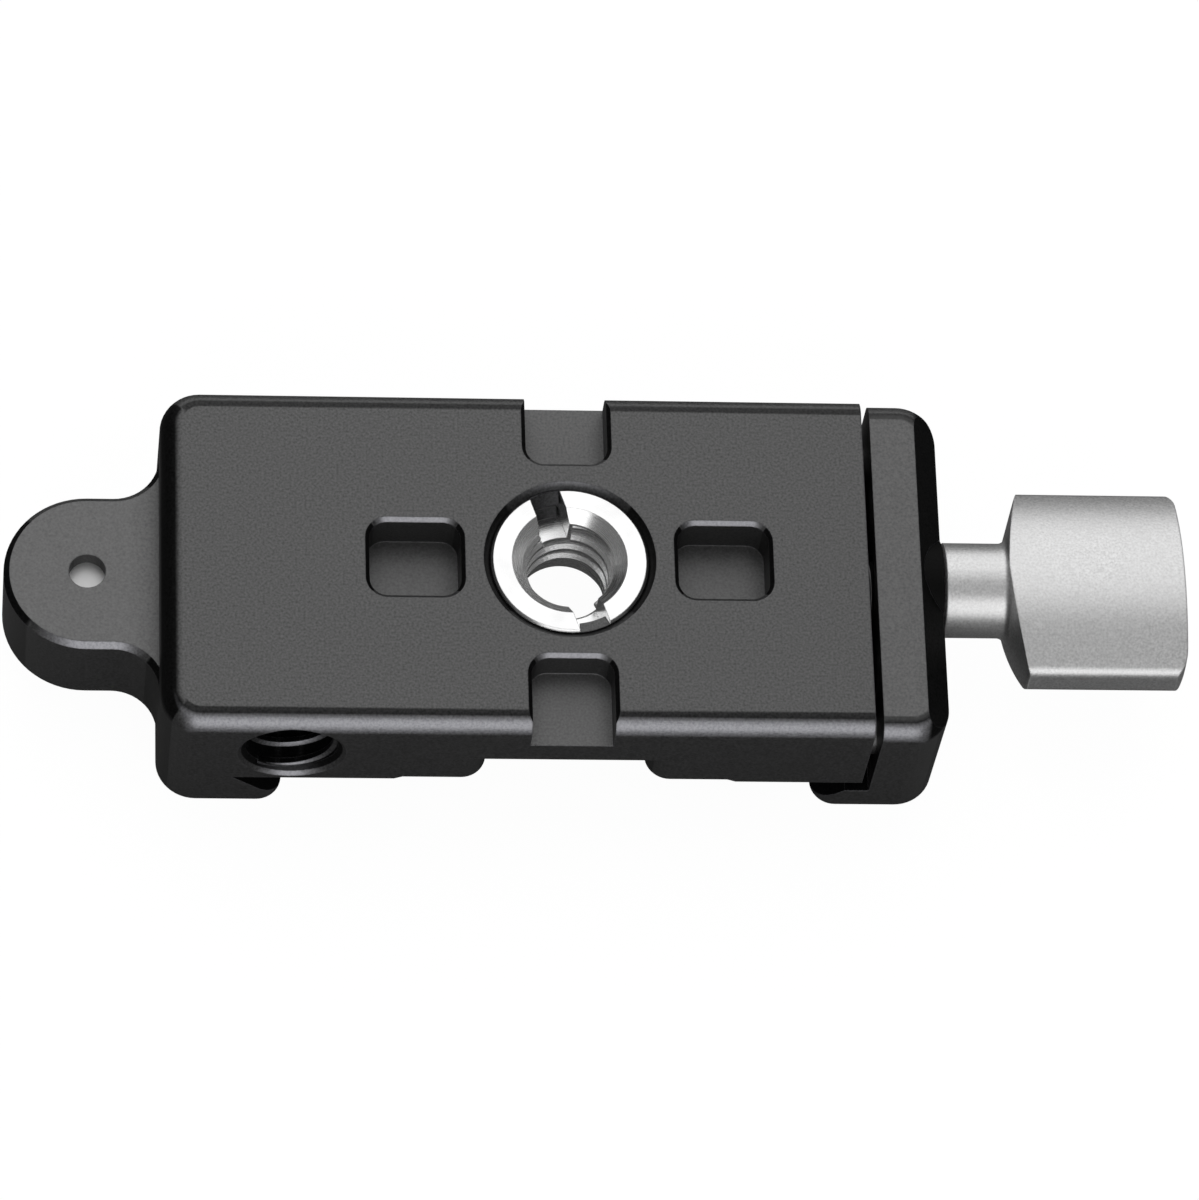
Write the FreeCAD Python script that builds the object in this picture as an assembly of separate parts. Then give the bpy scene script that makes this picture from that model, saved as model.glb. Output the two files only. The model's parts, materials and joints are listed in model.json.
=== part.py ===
import FreeCAD, Part
import math
import os

# Small screw-knob clamp for a dovetail camera plate, lying on its jaws with the mounting face up.
# Millimetres. The origin is the bushing axis on the mounting face, +Z leaves that face,
# +X runs to the knob, and a camera plate slides through along Y.

# Body block, from the bushing axis
BODY_LEFT = 24.5
BODY_RIGHT = 18.0
BODY_WIDTH = 22.4
BODY_DEPTH = 7.4
EDGE_ROUND = 1.3
CORNER_ROUND = 2.4
EDGE_BREAK = 0.25

# Dovetail lips, from the plate's seat down
LIP_DEPTH = 3.45
FLANK_ANGLE = 45.0
TIP_FLAT = 0.35
TIP_ROUND = 1.5
FIXED_TIP = 16.95
MOVING_TIP = 15.2
LEDGE_DROP = 1.2

# Plate side of the body: relieved middle of the seat, and stop recesses in both edges
SEAT_RELIEF = 0.3
SEAT_RELIEF_REACH = 9.8
SEAT_RAMP = 0.5
RECESS_REACH = 4.8
RECESS_CEILING = 4.4
RECESS_INSET = 4.2
RECESS_ROUND = 1.5

# Pockets and edge notches in the mounting face
RIM_CHAMFER = 0.25
POCKET_PLACE = 9.28
POCKET_LENGTH = 5.5
POCKET_WIDTH = 4.85
POCKET_DEPTH = 2.9
POCKET_ROUND = 1.1
NOTCH_WIDTH = 4.95
NOTCH_PLACE = 6.45
NOTCH_DEPTH = 2.4
NOTCH_ROUND = 1.1

# Tripod bushing and its hole, and the accessory hole in the front side
BUSHING_DIAMETER = 9.5
BUSHING_LENGTH = 6.6
BUSHING_SINK = 0.15
BUSHING_CHAMFER = 0.15
BUSHING_HOLE_CHAMFER = 0.42
THREAD_PITCH_DIAMETER = 5.52
THREAD_COUNTERSINK = 0.72
SLOT_WIDTH = 1.9
SLOT_DEPTH = 2.6
SLOT_ANGLE = 108.0
SIDE_HOLE_INSET = 7.9
SIDE_HOLE_HEIGHT = 3.9
SIDE_HOLE_DEPTH = 8.0
SIDE_HOLE_CHAMFER = 0.5
DRILL_POINT = 118.0

# Level lug on the left wall, and the round bubble level in it
LUG_REACH = 4.3
LUG_ROUND = 5.0
LUG_TOP = 2.45
LUG_HEIGHT = 6.25
LUG_FILLET = 2.75
LUG_CHAMFER = 0.35
LUG_HOLE = 2.2
LEVEL_ROOF = 1.15
LEVEL_DIAMETER = 7.8
LEVEL_SINK = 0.2
LEVEL_WALL = 0.75
LEVEL_WINDOW = 1.0
LEVEL_DOME = 0.45
LEVEL_PLUG = 1.0
BUBBLE_RADIUS = 1.15

# Moving jaw
JAW_GAP = 0.55
JAW_LENGTH = 4.15
JAW_SINK = 0.5
JAW_CHAMFER = 1.44

# Clamp screw: stud, stop screw, washer and knob, all on one axis below the mounting face
AXIS_DEPTH = 3.78
STUD_DIAMETER = 4.0
STUD_SEAT = 5.1
STUD_CHAMFER = 0.4
STUD_PASS_GAP = 0.15
WASHER_DIAMETER = 6.0
WASHER_THICKNESS = 1.4
WASHER_PROUD = 0.02
KNOB_LENGTH = 14.63
NECK_DIAMETER = 5.76
NECK_CHAMFER = 0.2
NECK_LENGTH = 3.93
NECK_FILLET = 0.5
FLARE_ANGLE = 73.5
PADDLE_WIDTH = 12.9
PADDLE_THICKNESS = 6.2
PADDLE_SIDE = 2.0
PADDLE_TURN = 6.0
BLANK_OVERSIZE = 0.12
PADDLE_SIDE_EDGE = 0.9
PADDLE_RIM_ROUND = 0.7
PADDLE_END_ROUND = 1.2
KNOB_THREAD = 5.8
KNOB_BORE_WALL = 0.6
JAW_TRAVEL = 6.0
JAW_CLOSING = 0.5
STOP_ROOM = 0.2
STOP_HEAD_HEIGHT = 1.4
STOP_HEAD_GAP = 0.2
STOP_SHANK_DIAMETER = 2.0
STOP_SHANK_LENGTH = 5.0
STOP_SOCKET = 1.3
STOP_SOCKET_DEPTH = 0.8

# Guide pins and springs between jaw and body
PIN_DIAMETER = 2.5
PIN_INSET = 2.2
PIN_HEIGHT = 5.0
PIN_SEAT = 3.0
PIN_REACH = 12.6
PIN_CHAMFER = 0.3
SPRING_DIAMETER = 3.9
SPRING_WIRE = 0.4
SPRING_WIRE_SIDES = 6
SPRING_TURNS = 6
SPRING_INSET = 6.0
SPRING_HEIGHT = 4.4
SPRING_HOLE_DEPTH = 8.0
SPRING_HOLE_GAP = 0.15

# Clearances: seated pieces, sliding pieces, and pieces face to face that turn
SEAT_GAP = 0.02
SLIDE_GAP = 0.04
THRUST_GAP = 0.02

# How far a cutting tool runs past the material
CUT_PAST = 1.0

# Places worked out from the sizes above
HALF_WIDTH = BODY_WIDTH / 2
PIN_PLACE = HALF_WIDTH - PIN_INSET
SPRING_PLACE = HALF_WIDTH - SPRING_INSET
SIDE_HOLE_PLACE = BODY_LEFT - SIDE_HOLE_INSET
LUG_PLACE = BODY_LEFT + LUG_REACH
SEAT_Z = -BODY_DEPTH
FLOOR_Z = SEAT_Z - LIP_DEPTH
FLANK_RUN = 1 / math.tan(math.radians(FLANK_ANGLE))
JAW_INNER = BODY_RIGHT + JAW_GAP
JAW_OUTER = JAW_INNER + JAW_LENGTH
LEDGE_Z = SEAT_Z - LEDGE_DROP
AXIS_Z = -AXIS_DEPTH
STUD_START = BODY_RIGHT - STUD_SEAT
WASHER_END = JAW_OUTER + WASHER_PROUD
WASHER_START = WASHER_END - WASHER_THICKNESS
KNOB_START = WASHER_END + THRUST_GAP
KNOB_END = KNOB_START + KNOB_LENGTH
KNOB_SHOULDER = KNOB_START + KNOB_THREAD
STUD_END = KNOB_SHOULDER + JAW_TRAVEL + STOP_ROOM
LUG_BOTTOM = -LUG_TOP - LUG_HEIGHT
LEVEL_ROOF_Z = -LUG_TOP - LEVEL_ROOF
LEVEL_RADIUS = LEVEL_DIAMETER / 2
VIAL_RADIUS = LEVEL_RADIUS - SEAT_GAP
VIAL_BOTTOM = LUG_BOTTOM + LEVEL_SINK
LIQUID_RADIUS = VIAL_RADIUS - LEVEL_WALL
LIQUID_TOP = LEVEL_ROOF_Z - LEVEL_PLUG
LIQUID_BOTTOM = VIAL_BOTTOM + LEVEL_WINDOW
KNOB_BORE_RADIUS = PADDLE_THICKNESS / 2 - KNOB_BORE_WALL
PIN_BORE_DEPTH = PIN_REACH - JAW_GAP + JAW_CLOSING + STOP_ROOM
SPRING_HOLE_RADIUS = SPRING_DIAMETER / 2 + SPRING_HOLE_GAP

X_AXIS = FreeCAD.Vector(1, 0, 0)
Y_AXIS = FreeCAD.Vector(0, 1, 0)
Z_AXIS = FreeCAD.Vector(0, 0, 1)
SIDES = {"front": -1, "rear": 1}


def point(x, y, z):
    return FreeCAD.Vector(x, y, z)


def outline(x0, x1, y0, y1, left_round, right_round, z):
    """Closed wire at height z: a rectangle with its own corner radius at each end in X."""
    corners = [(x0, y0, left_round), (x1, y0, right_round), (x1, y1, right_round), (x0, y1, left_round)]
    turns = [(1, 1), (-1, 1), (-1, -1), (1, -1)]
    ends = []
    for index, ((x, y, r), (tx, ty)) in enumerate(zip(corners, turns)):
        along_x = point(x + tx * r, y, z)
        along_y = point(x, y + ty * r, z)
        start, stop = (along_y, along_x) if index % 2 == 0 else (along_x, along_y)
        bulge = r * (1 - math.sqrt(0.5))
        ends.append((start, point(x + tx * bulge, y + ty * bulge, z), stop, r))
    edges = []
    for index, (start, middle, stop, r) in enumerate(ends):
        if r > 0:
            edges.append(Part.Arc(start, middle, stop).toShape())
        edges.append(Part.makeLine(stop, ends[(index + 1) % len(ends)][0]))
    return Part.Wire(edges)


def slab(x0, x1, y0, y1, left_round, right_round, z0, z1):
    face = Part.Face(outline(x0, x1, y0, y1, left_round, right_round, z0))
    return face.extrude(point(0, 0, z1 - z0))


def side_prism(profile, y0, y1):
    """Solid of an outline in the XZ plane, pushed along Y."""
    corners = [point(x, y0, z) for x, z in profile]
    return Part.Face(Part.makePolygon(corners + corners[:1])).extrude(point(0, y1 - y0, 0))


def rod(radius, start, direction, length):
    return Part.makeCylinder(radius, length, start, direction)


def cone(start_radius, end_radius, start, direction, length):
    return Part.makeCone(start_radius, end_radius, length, start, direction)


def turned(profile, x, z, direction):
    """Solid turned about the line through (x, 0, z): profile holds (distance along, radius) pairs."""
    if direction == X_AXIS:
        corners = [point(x + along, 0, z + radius) for along, radius in profile]
    else:
        corners = [point(x + radius, 0, z + along) for along, radius in profile]
    face = Part.Face(Part.makePolygon(corners + corners[:1]))
    return face.revolve(point(x, 0, z), direction, 360)


def chamfered_rod(radius, chamfer, start, length):
    profile = [(0, 0), (0, radius - chamfer), (chamfer, radius), (length - chamfer, radius)]
    profile += [(length, radius - chamfer), (length, 0)]
    bar = turned(profile, 0, 0, X_AXIS)
    bar.translate(start)
    return bar


def rounded(shape, radius, wanted):
    return shape.makeFillet(radius, [edge for edge in shape.Edges if wanted(edge)])


def bevelled(shape, size, wanted):
    return shape.makeChamfer(size, [edge for edge in shape.Edges if wanted(edge)])


def lies_at(edge, low, high):
    """True where the whole edge lies between two heights."""
    box = edge.BoundBox
    return low <= box.ZMin and box.ZMax <= high


def on_level(edge, z):
    return lies_at(edge, z - SEAT_GAP / 2, z + SEAT_GAP / 2)


def across_at(edge, x):
    """True for an edge that runs along Y at one place in X."""
    box = edge.BoundBox
    return box.XLength < SEAT_GAP and abs(box.Center.x - x) < SEAT_GAP


def rim_tool(x0, x1, y0, y1, corner_round, chamfer, bottom):
    """Cutter for a pocket in the mounting face, with a chamfered rim."""
    hole = slab(x0, x1, y0, y1, corner_round, corner_round, bottom, CUT_PAST)
    grow = chamfer + CUT_PAST
    wide_round = corner_round + grow
    wide = outline(x0 - grow, x1 + grow, y0 - grow, y1 + grow, wide_round, wide_round, CUT_PAST)
    narrow = outline(x0, x1, y0, y1, corner_round, corner_round, -chamfer)
    return hole.fuse(Part.makeLoft([wide, narrow], True, True))


def pocket_tool(side):
    middle = side * POCKET_PLACE
    half_length = POCKET_LENGTH / 2
    half_width = POCKET_WIDTH / 2
    left, right = middle - half_length, middle + half_length
    return rim_tool(left, right, -half_width, half_width, POCKET_ROUND, RIM_CHAMFER, -POCKET_DEPTH)


def notch_tool(side):
    past = HALF_WIDTH + 2 * NOTCH_ROUND + CUT_PAST
    low, high = sorted((side * NOTCH_PLACE, side * past))
    return rim_tool(-NOTCH_WIDTH / 2, NOTCH_WIDTH / 2, low, high, NOTCH_ROUND, RIM_CHAMFER, -NOTCH_DEPTH)


def recess_tool(side):
    """Cutter for the stop recess in one edge of the plate side: square walls with a rounded mouth."""
    inner = HALF_WIDTH - RECESS_INSET
    top = -RECESS_CEILING
    bottom = SEAT_Z - CUT_PAST
    past = HALF_WIDTH + CUT_PAST + RECESS_ROUND
    tool = slab(-RECESS_REACH, RECESS_REACH, inner, past, RECESS_ROUND, RECESS_ROUND, bottom, top)
    mouth = RECESS_REACH + RECESS_ROUND
    for end in (-1, 1):
        low, high = sorted((end * (RECESS_REACH - SEAT_GAP), end * mouth))
        corner = slab(low, high, HALF_WIDTH - RECESS_ROUND, past, 0, 0, bottom, top)
        keep = rod(RECESS_ROUND, point(end * mouth, HALF_WIDTH - RECESS_ROUND, bottom), Z_AXIS, top - bottom)
        tool = tool.fuse(corner.cut(keep))
    if side < 0:
        tool = tool.mirror(point(0, 0, 0), Y_AXIS)
    return tool


def lug():
    """Rounded tongue on the left wall, with hollow fillets where it leaves the body."""
    wall = -BODY_LEFT
    inside = wall + CORNER_ROUND
    left = -LUG_PLACE - LUG_ROUND
    outer = slab(left, inside, -LUG_ROUND, LUG_ROUND, LUG_ROUND - SEAT_GAP, 0, LUG_BOTTOM, -LUG_TOP)
    for side in SIDES.values():
        low, high = sorted((side * (LUG_ROUND - SEAT_GAP), side * (LUG_ROUND + LUG_FILLET)))
        web = slab(wall - LUG_FILLET, inside, low, high, 0, 0, LUG_BOTTOM, -LUG_TOP)
        hollow_axis = point(wall - LUG_FILLET, side * (LUG_ROUND + LUG_FILLET), LUG_BOTTOM)
        outer = outer.fuse(web.cut(rod(LUG_FILLET, hollow_axis, Z_AXIS, LUG_HEIGHT)))
    outer = outer.removeSplitter()
    top_edges = []
    for edge in outer.Edges:
        box = edge.BoundBox
        outside = box.XMin < wall - SEAT_GAP and box.XMax <= wall + SEAT_GAP
        if on_level(edge, -LUG_TOP) and outside:
            top_edges.append(edge)
    return outer, top_edges


def body_block():
    """Block with the fixed lip: a side profile, held inside the rounded plan of block and lip."""
    wall = -BODY_LEFT
    tip = -FIXED_TIP
    flank_bottom = FLOOR_Z + TIP_FLAT
    root = tip - (SEAT_Z - flank_bottom) * FLANK_RUN
    high_seat = SEAT_Z + SEAT_RELIEF
    profile = [(wall, 0), (BODY_RIGHT, 0), (BODY_RIGHT, SEAT_Z)]
    for side in (1, -1):
        ramp = [(side * (SEAT_RELIEF_REACH + SEAT_RAMP), SEAT_Z), (side * SEAT_RELIEF_REACH, high_seat)]
        profile += ramp if side > 0 else ramp[::-1]
    profile += [(root, SEAT_Z), (tip, flank_bottom), (tip, FLOOR_Z), (wall, FLOOR_Z)]
    block_plan = slab(wall, BODY_RIGHT, -HALF_WIDTH, HALF_WIDTH, CORNER_ROUND, 0, SEAT_Z, 0)
    lip_plan = slab(wall, tip, -HALF_WIDTH, HALF_WIDTH, CORNER_ROUND, TIP_ROUND, FLOOR_Z, SEAT_Z)
    block = block_plan.fuse(lip_plan).common(side_prism(profile, -HALF_WIDTH, HALF_WIDTH)).removeSplitter()
    block = rounded(block, EDGE_ROUND, lambda edge: on_level(edge, 0) and not across_at(edge, BODY_RIGHT))
    return bevelled(block, EDGE_BREAK, lambda edge: on_level(edge, FLOOR_Z))


def side_hole_tool():
    """Blind threaded hole in the front side, with a drilled bottom and a chamfered mouth."""
    radius = THREAD_PITCH_DIAMETER / 2
    mouth = point(-SIDE_HOLE_PLACE, -HALF_WIDTH, -SIDE_HOLE_HEIGHT)
    bottom = mouth + Y_AXIS * SIDE_HOLE_DEPTH
    start = mouth - Y_AXIS * CUT_PAST
    wide = radius + SIDE_HOLE_CHAMFER
    tip_length = radius / math.tan(math.radians(DRILL_POINT / 2))
    tool = rod(radius, mouth, Y_AXIS, SIDE_HOLE_DEPTH)
    tool = tool.fuse(cone(radius, 0, bottom, Y_AXIS, tip_length))
    tool = tool.fuse(cone(wide, radius, mouth, Y_AXIS, SIDE_HOLE_CHAMFER))
    return tool.fuse(rod(wide, start, Y_AXIS, CUT_PAST))


def bushing_hole_tool():
    radius = BUSHING_DIAMETER / 2 + SEAT_GAP
    grow = BUSHING_HOLE_CHAMFER + CUT_PAST
    tool = rod(radius, point(0, 0, SEAT_Z - CUT_PAST), Z_AXIS, BODY_DEPTH + 2 * CUT_PAST)
    return tool.fuse(cone(radius, radius + grow, point(0, 0, -BUSHING_HOLE_CHAMFER), Z_AXIS, grow))


def make_base_body():
    body = body_block()
    tongue, top_edges = lug()
    body = body.fuse(tongue.makeChamfer(LUG_CHAMFER, top_edges)).removeSplitter()
    tools = [bushing_hole_tool(), side_hole_tool()]
    tools += [pocket_tool(side) for side in SIDES.values()]
    tools += [notch_tool(side) for side in SIDES.values()]
    tools += [recess_tool(side) for side in SIDES.values()]
    tools.append(rod(LEVEL_RADIUS, point(-LUG_PLACE, 0, LUG_BOTTOM), Z_AXIS, LUG_HEIGHT - LEVEL_ROOF))
    tools.append(rod(LUG_HOLE / 2, point(-LUG_PLACE, 0, LEVEL_ROOF_Z - SEAT_GAP), Z_AXIS, LUG_HEIGHT))
    tools.append(rod(STUD_DIAMETER / 2 + SEAT_GAP, point(STUD_START, 0, AXIS_Z), X_AXIS, STUD_SEAT))
    for side in SIDES.values():
        pin_mouth = point(BODY_RIGHT, side * PIN_PLACE, -PIN_HEIGHT)
        tools.append(rod(PIN_DIAMETER / 2 + SLIDE_GAP, pin_mouth, -X_AXIS, PIN_BORE_DEPTH))
        spring_mouth = point(BODY_RIGHT, side * SPRING_PLACE, -SPRING_HEIGHT)
        tools.append(rod(SPRING_HOLE_RADIUS, spring_mouth, -X_AXIS, SPRING_HOLE_DEPTH))
    return body.cut(tools)


def make_moving_jaw():
    top = -JAW_SINK
    tip = MOVING_TIP
    flank_bottom = FLOOR_Z + TIP_FLAT
    ledge = tip + (LEDGE_Z - flank_bottom) * FLANK_RUN
    profile = [(JAW_INNER, top), (JAW_OUTER, top), (JAW_OUTER, FLOOR_Z), (tip, FLOOR_Z)]
    profile += [(tip, flank_bottom), (ledge, LEDGE_Z), (JAW_INNER, LEDGE_Z)]
    block_plan = slab(JAW_INNER, JAW_OUTER, -HALF_WIDTH, HALF_WIDTH, 0, CORNER_ROUND, LEDGE_Z, top)
    lip_plan = slab(tip, JAW_OUTER, -HALF_WIDTH, HALF_WIDTH, TIP_ROUND, CORNER_ROUND, FLOOR_Z, LEDGE_Z)
    jaw = block_plan.fuse(lip_plan).common(side_prism(profile, -HALF_WIDTH, HALF_WIDTH)).removeSplitter()
    jaw = rounded(jaw, EDGE_ROUND, lambda edge: on_level(edge, top) and not across_at(edge, JAW_INNER))
    jaw = bevelled(jaw, EDGE_BREAK, lambda edge: on_level(edge, FLOOR_Z))
    past = JAW_CHAMFER + CUT_PAST
    outside = JAW_OUTER + CUT_PAST
    bevel = [(JAW_OUTER - JAW_CHAMFER, top), (outside, top - past), (outside, top + past)]
    bevel.append((JAW_OUTER - past, top + CUT_PAST))
    tools = [side_prism(bevel, -HALF_WIDTH - CUT_PAST, HALF_WIDTH + CUT_PAST)]
    tools.append(rod(STUD_DIAMETER / 2 + STUD_PASS_GAP, point(JAW_INNER, 0, AXIS_Z), X_AXIS, JAW_LENGTH))
    washer_seat = point(WASHER_START, 0, AXIS_Z)
    tools.append(rod(WASHER_DIAMETER / 2 + SEAT_GAP, washer_seat, X_AXIS, WASHER_THICKNESS))
    for side in SIDES.values():
        pin_mouth = point(JAW_INNER, side * PIN_PLACE, -PIN_HEIGHT)
        tools.append(rod(PIN_DIAMETER / 2 + SEAT_GAP, pin_mouth, X_AXIS, PIN_SEAT))
    return jaw.cut(tools)


def make_thread_bushing():
    outer = BUSHING_DIAMETER / 2
    bore = THREAD_PITCH_DIAMETER / 2
    top = -BUSHING_SINK
    bottom = top - BUSHING_LENGTH
    profile = [(bottom, bore), (bottom, outer - BUSHING_CHAMFER), (bottom + BUSHING_CHAMFER, outer)]
    profile += [(top - BUSHING_CHAMFER, outer), (top, outer - BUSHING_CHAMFER)]
    profile += [(top, bore + THREAD_COUNTERSINK), (top - THREAD_COUNTERSINK, bore)]
    ring = turned(profile, 0, 0, Z_AXIS)
    slot = Part.makeBox(2 * BUSHING_DIAMETER, SLOT_WIDTH, SLOT_DEPTH + CUT_PAST)
    slot.translate(point(-BUSHING_DIAMETER, -SLOT_WIDTH / 2, top - SLOT_DEPTH))
    slot.rotate(point(0, 0, 0), Z_AXIS, SLOT_ANGLE)
    return ring.cut(slot)


def make_clamp_stud():
    stud = chamfered_rod(STUD_DIAMETER / 2, STUD_CHAMFER, point(STUD_START, 0, AXIS_Z), STUD_END - STUD_START)
    shank_hole = rod(
        STOP_SHANK_DIAMETER / 2 + SEAT_GAP, point(STUD_END, 0, AXIS_Z), -X_AXIS, STOP_SHANK_LENGTH + SEAT_GAP
    )
    return stud.cut(shank_hole)


def make_stop_screw():
    """Socket screw in the stud's end, whose head the knob's inner shoulder meets at full opening."""
    seat = point(STUD_END, 0, AXIS_Z)
    head_radius = KNOB_BORE_RADIUS - STOP_HEAD_GAP
    screw = rod(head_radius, seat, X_AXIS, STOP_HEAD_HEIGHT)
    screw = screw.fuse(rod(STOP_SHANK_DIAMETER / 2, seat, -X_AXIS, STOP_SHANK_LENGTH))
    top = STUD_END + STOP_HEAD_HEIGHT
    corner_radius = STOP_SOCKET / math.sqrt(3)
    corners = []
    for step in range(7):
        turn = math.radians(60 * step)
        corners.append(point(top, corner_radius * math.cos(turn), AXIS_Z + corner_radius * math.sin(turn)))
    socket = Part.Face(Part.makePolygon(corners)).extrude(point(-STOP_SOCKET_DEPTH, 0, 0))
    return screw.cut(socket)


def make_thrust_washer():
    start = point(WASHER_START, 0, AXIS_Z)
    disc = rod(WASHER_DIAMETER / 2, start, X_AXIS, WASHER_THICKNESS)
    return disc.cut(rod(STUD_DIAMETER / 2 + STUD_PASS_GAP, start, X_AXIS, WASHER_THICKNESS))


def knob_blank():
    """Turned form of the knob: neck, hollow fillet, flare, rounded rim and rounded end."""
    neck = NECK_DIAMETER / 2
    slope = math.radians(FLARE_ANGLE)
    flare_start = KNOB_START + NECK_LENGTH
    rim = math.hypot(PADDLE_WIDTH, PADDLE_SIDE) / 2 + BLANK_OVERSIZE
    flare_end = flare_start + (rim - neck) / math.tan(slope)
    reach = NECK_FILLET * math.tan(slope / 2)
    bend_axis = (flare_start - reach, neck + NECK_FILLET)
    middle = slope / 2
    bend = [(flare_start - reach, neck)]
    along, across = math.sin(middle), math.cos(middle)
    bend.append((bend_axis[0] + NECK_FILLET * along, bend_axis[1] - NECK_FILLET * across))
    bend.append((flare_start + reach * math.cos(slope), neck + reach * math.sin(slope)))
    run = PADDLE_RIM_ROUND * math.tan(middle)
    rim_axis = (flare_end + run, rim - PADDLE_RIM_ROUND)
    brow = [(flare_end - run * math.cos(slope), rim - run * math.sin(slope))]
    brow.append((rim_axis[0] - PADDLE_RIM_ROUND * along, rim_axis[1] + PADDLE_RIM_ROUND * across))
    brow.append((rim_axis[0], rim))
    arm = PADDLE_END_ROUND * math.sqrt(0.5)
    end_axis = (KNOB_END - PADDLE_END_ROUND, rim - PADDLE_END_ROUND)
    end = [(end_axis[0], rim), (end_axis[0] + arm, end_axis[1] + arm), (KNOB_END, end_axis[1])]
    before = [(KNOB_START, 0), (KNOB_START, neck - NECK_CHAMFER), (KNOB_START + NECK_CHAMFER, neck), bend[0]]
    after = [end[2], (KNOB_END, 0), (KNOB_START, 0)]

    def place(pair):
        return point(pair[0], 0, AXIS_Z + pair[1])

    edges = [Part.makeLine(place(a), place(b)) for a, b in zip(before, before[1:])]
    edges.append(Part.Arc(*[place(pair) for pair in bend]).toShape())
    edges.append(Part.makeLine(place(bend[2]), place(brow[0])))
    edges.append(Part.Arc(*[place(pair) for pair in brow]).toShape())
    edges.append(Part.makeLine(place(brow[2]), place(end[0])))
    edges.append(Part.Arc(*[place(pair) for pair in end]).toShape())
    edges += [Part.makeLine(place(a), place(b)) for a, b in zip(after, after[1:])]
    return Part.Face(Part.Wire(edges)).revolve(point(0, 0, AXIS_Z), X_AXIS, 360)


def paddle_prism():
    """Lens section of the paddle, two crowned faces and two narrow sides, along the whole knob."""
    half_width = PADDLE_WIDTH / 2
    half_side = PADDLE_SIDE / 2
    crown = PADDLE_THICKNESS / 2

    def place(y, z):
        return point(KNOB_START - CUT_PAST, y, AXIS_Z + z)

    edges = [
        Part.Arc(place(half_width, half_side), place(0, crown), place(-half_width, half_side)).toShape(),
        Part.makeLine(place(-half_width, half_side), place(-half_width, -half_side)),
        Part.Arc(place(-half_width, -half_side), place(0, -crown), place(half_width, -half_side)).toShape(),
        Part.makeLine(place(half_width, -half_side), place(half_width, half_side)),
    ]
    prism = Part.Face(Part.Wire(edges)).extrude(X_AXIS * (KNOB_LENGTH + 2 * CUT_PAST))
    prism = rounded(prism, PADDLE_SIDE_EDGE, lambda edge: edge.BoundBox.XLength > KNOB_LENGTH)
    prism.rotate(point(0, 0, AXIS_Z), X_AXIS, -PADDLE_TURN)
    return prism


def make_knob():
    knob = knob_blank().common(paddle_prism())
    start = point(KNOB_START, 0, AXIS_Z)
    knob = knob.cut(rod(STUD_DIAMETER / 2 + SLIDE_GAP, start, X_AXIS, KNOB_LENGTH))
    return knob.cut(rod(KNOB_BORE_RADIUS, start + X_AXIS * KNOB_THREAD, X_AXIS, KNOB_LENGTH))


def make_guide_pin(side):
    start = point(JAW_INNER - PIN_REACH, side * PIN_PLACE, -PIN_HEIGHT)
    return chamfered_rod(PIN_DIAMETER / 2, PIN_CHAMFER, start, PIN_REACH + PIN_SEAT)


def make_jaw_spring(side):
    """Coil spring from the bottom of its hole to the jaw."""
    wire = SPRING_WIRE / 2
    coil = (SPRING_DIAMETER - SPRING_WIRE) / 2
    length = SPRING_HOLE_DEPTH + JAW_GAP - 2 * wire - 2 * SEAT_GAP
    helix = Part.makeHelix(length / SPRING_TURNS, length, coil)
    corners = []
    for step in range(SPRING_WIRE_SIDES):
        turn = 2 * math.pi * step / SPRING_WIRE_SIDES
        corners.append(point(coil + wire * math.cos(turn), 0, wire * math.sin(turn)))
    section = Part.makePolygon(corners + corners[:1])
    spring = Part.Wire(helix.Edges).makePipeShell([section], True, True)
    spring.rotate(point(0, 0, 0), Y_AXIS, 90)
    start = BODY_RIGHT - SPRING_HOLE_DEPTH + wire + SEAT_GAP
    spring.translate(point(start, side * SPRING_PLACE, -SPRING_HEIGHT))
    return spring


def liquid_profile(gap):
    """Section of the space in the level, which ends in a shallow dome on the side it is read from."""
    radius = LIQUID_RADIUS - gap
    top = LIQUID_TOP - gap
    bottom = LIQUID_BOTTOM + gap
    edges = [
        Part.makeLine(point(0, 0, top), point(radius, 0, top)),
        Part.makeLine(point(radius, 0, top), point(radius, 0, bottom)),
    ]
    dome_radius = (radius * radius + LEVEL_DOME * LEVEL_DOME) / (2 * LEVEL_DOME)
    half_turn = math.asin(radius / dome_radius) / 2
    dome_axis = bottom - LEVEL_DOME + dome_radius
    middle = point(dome_radius * math.sin(half_turn), 0, dome_axis - dome_radius * math.cos(half_turn))
    edges.append(Part.Arc(point(radius, 0, bottom), middle, point(0, 0, bottom - LEVEL_DOME)).toShape())
    edges.append(Part.makeLine(point(0, 0, bottom - LEVEL_DOME), point(0, 0, top)))
    return Part.Face(Part.Wire(edges)).revolve(point(0, 0, 0), Z_AXIS, 360)


def make_level_vial():
    top = LEVEL_ROOF_Z
    cup = rod(VIAL_RADIUS, point(0, 0, VIAL_BOTTOM), Z_AXIS, top - VIAL_BOTTOM)
    mouth = rod(LIQUID_RADIUS, point(0, 0, LIQUID_TOP), Z_AXIS, LEVEL_PLUG)
    vial = cup.cut([liquid_profile(0), mouth])
    vial.translate(point(-LUG_PLACE, 0, 0))
    return vial


def make_level_liquid():
    liquid = liquid_profile(SEAT_GAP)
    bubble = Part.makeSphere(BUBBLE_RADIUS, point(0, 0, LIQUID_TOP))
    liquid = liquid.cut(bubble)
    liquid.translate(point(-LUG_PLACE, 0, 0))
    return liquid


def make_level_plug():
    return rod(LIQUID_RADIUS - SEAT_GAP, point(-LUG_PLACE, 0, LIQUID_TOP), Z_AXIS, LEVEL_PLUG)


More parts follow.
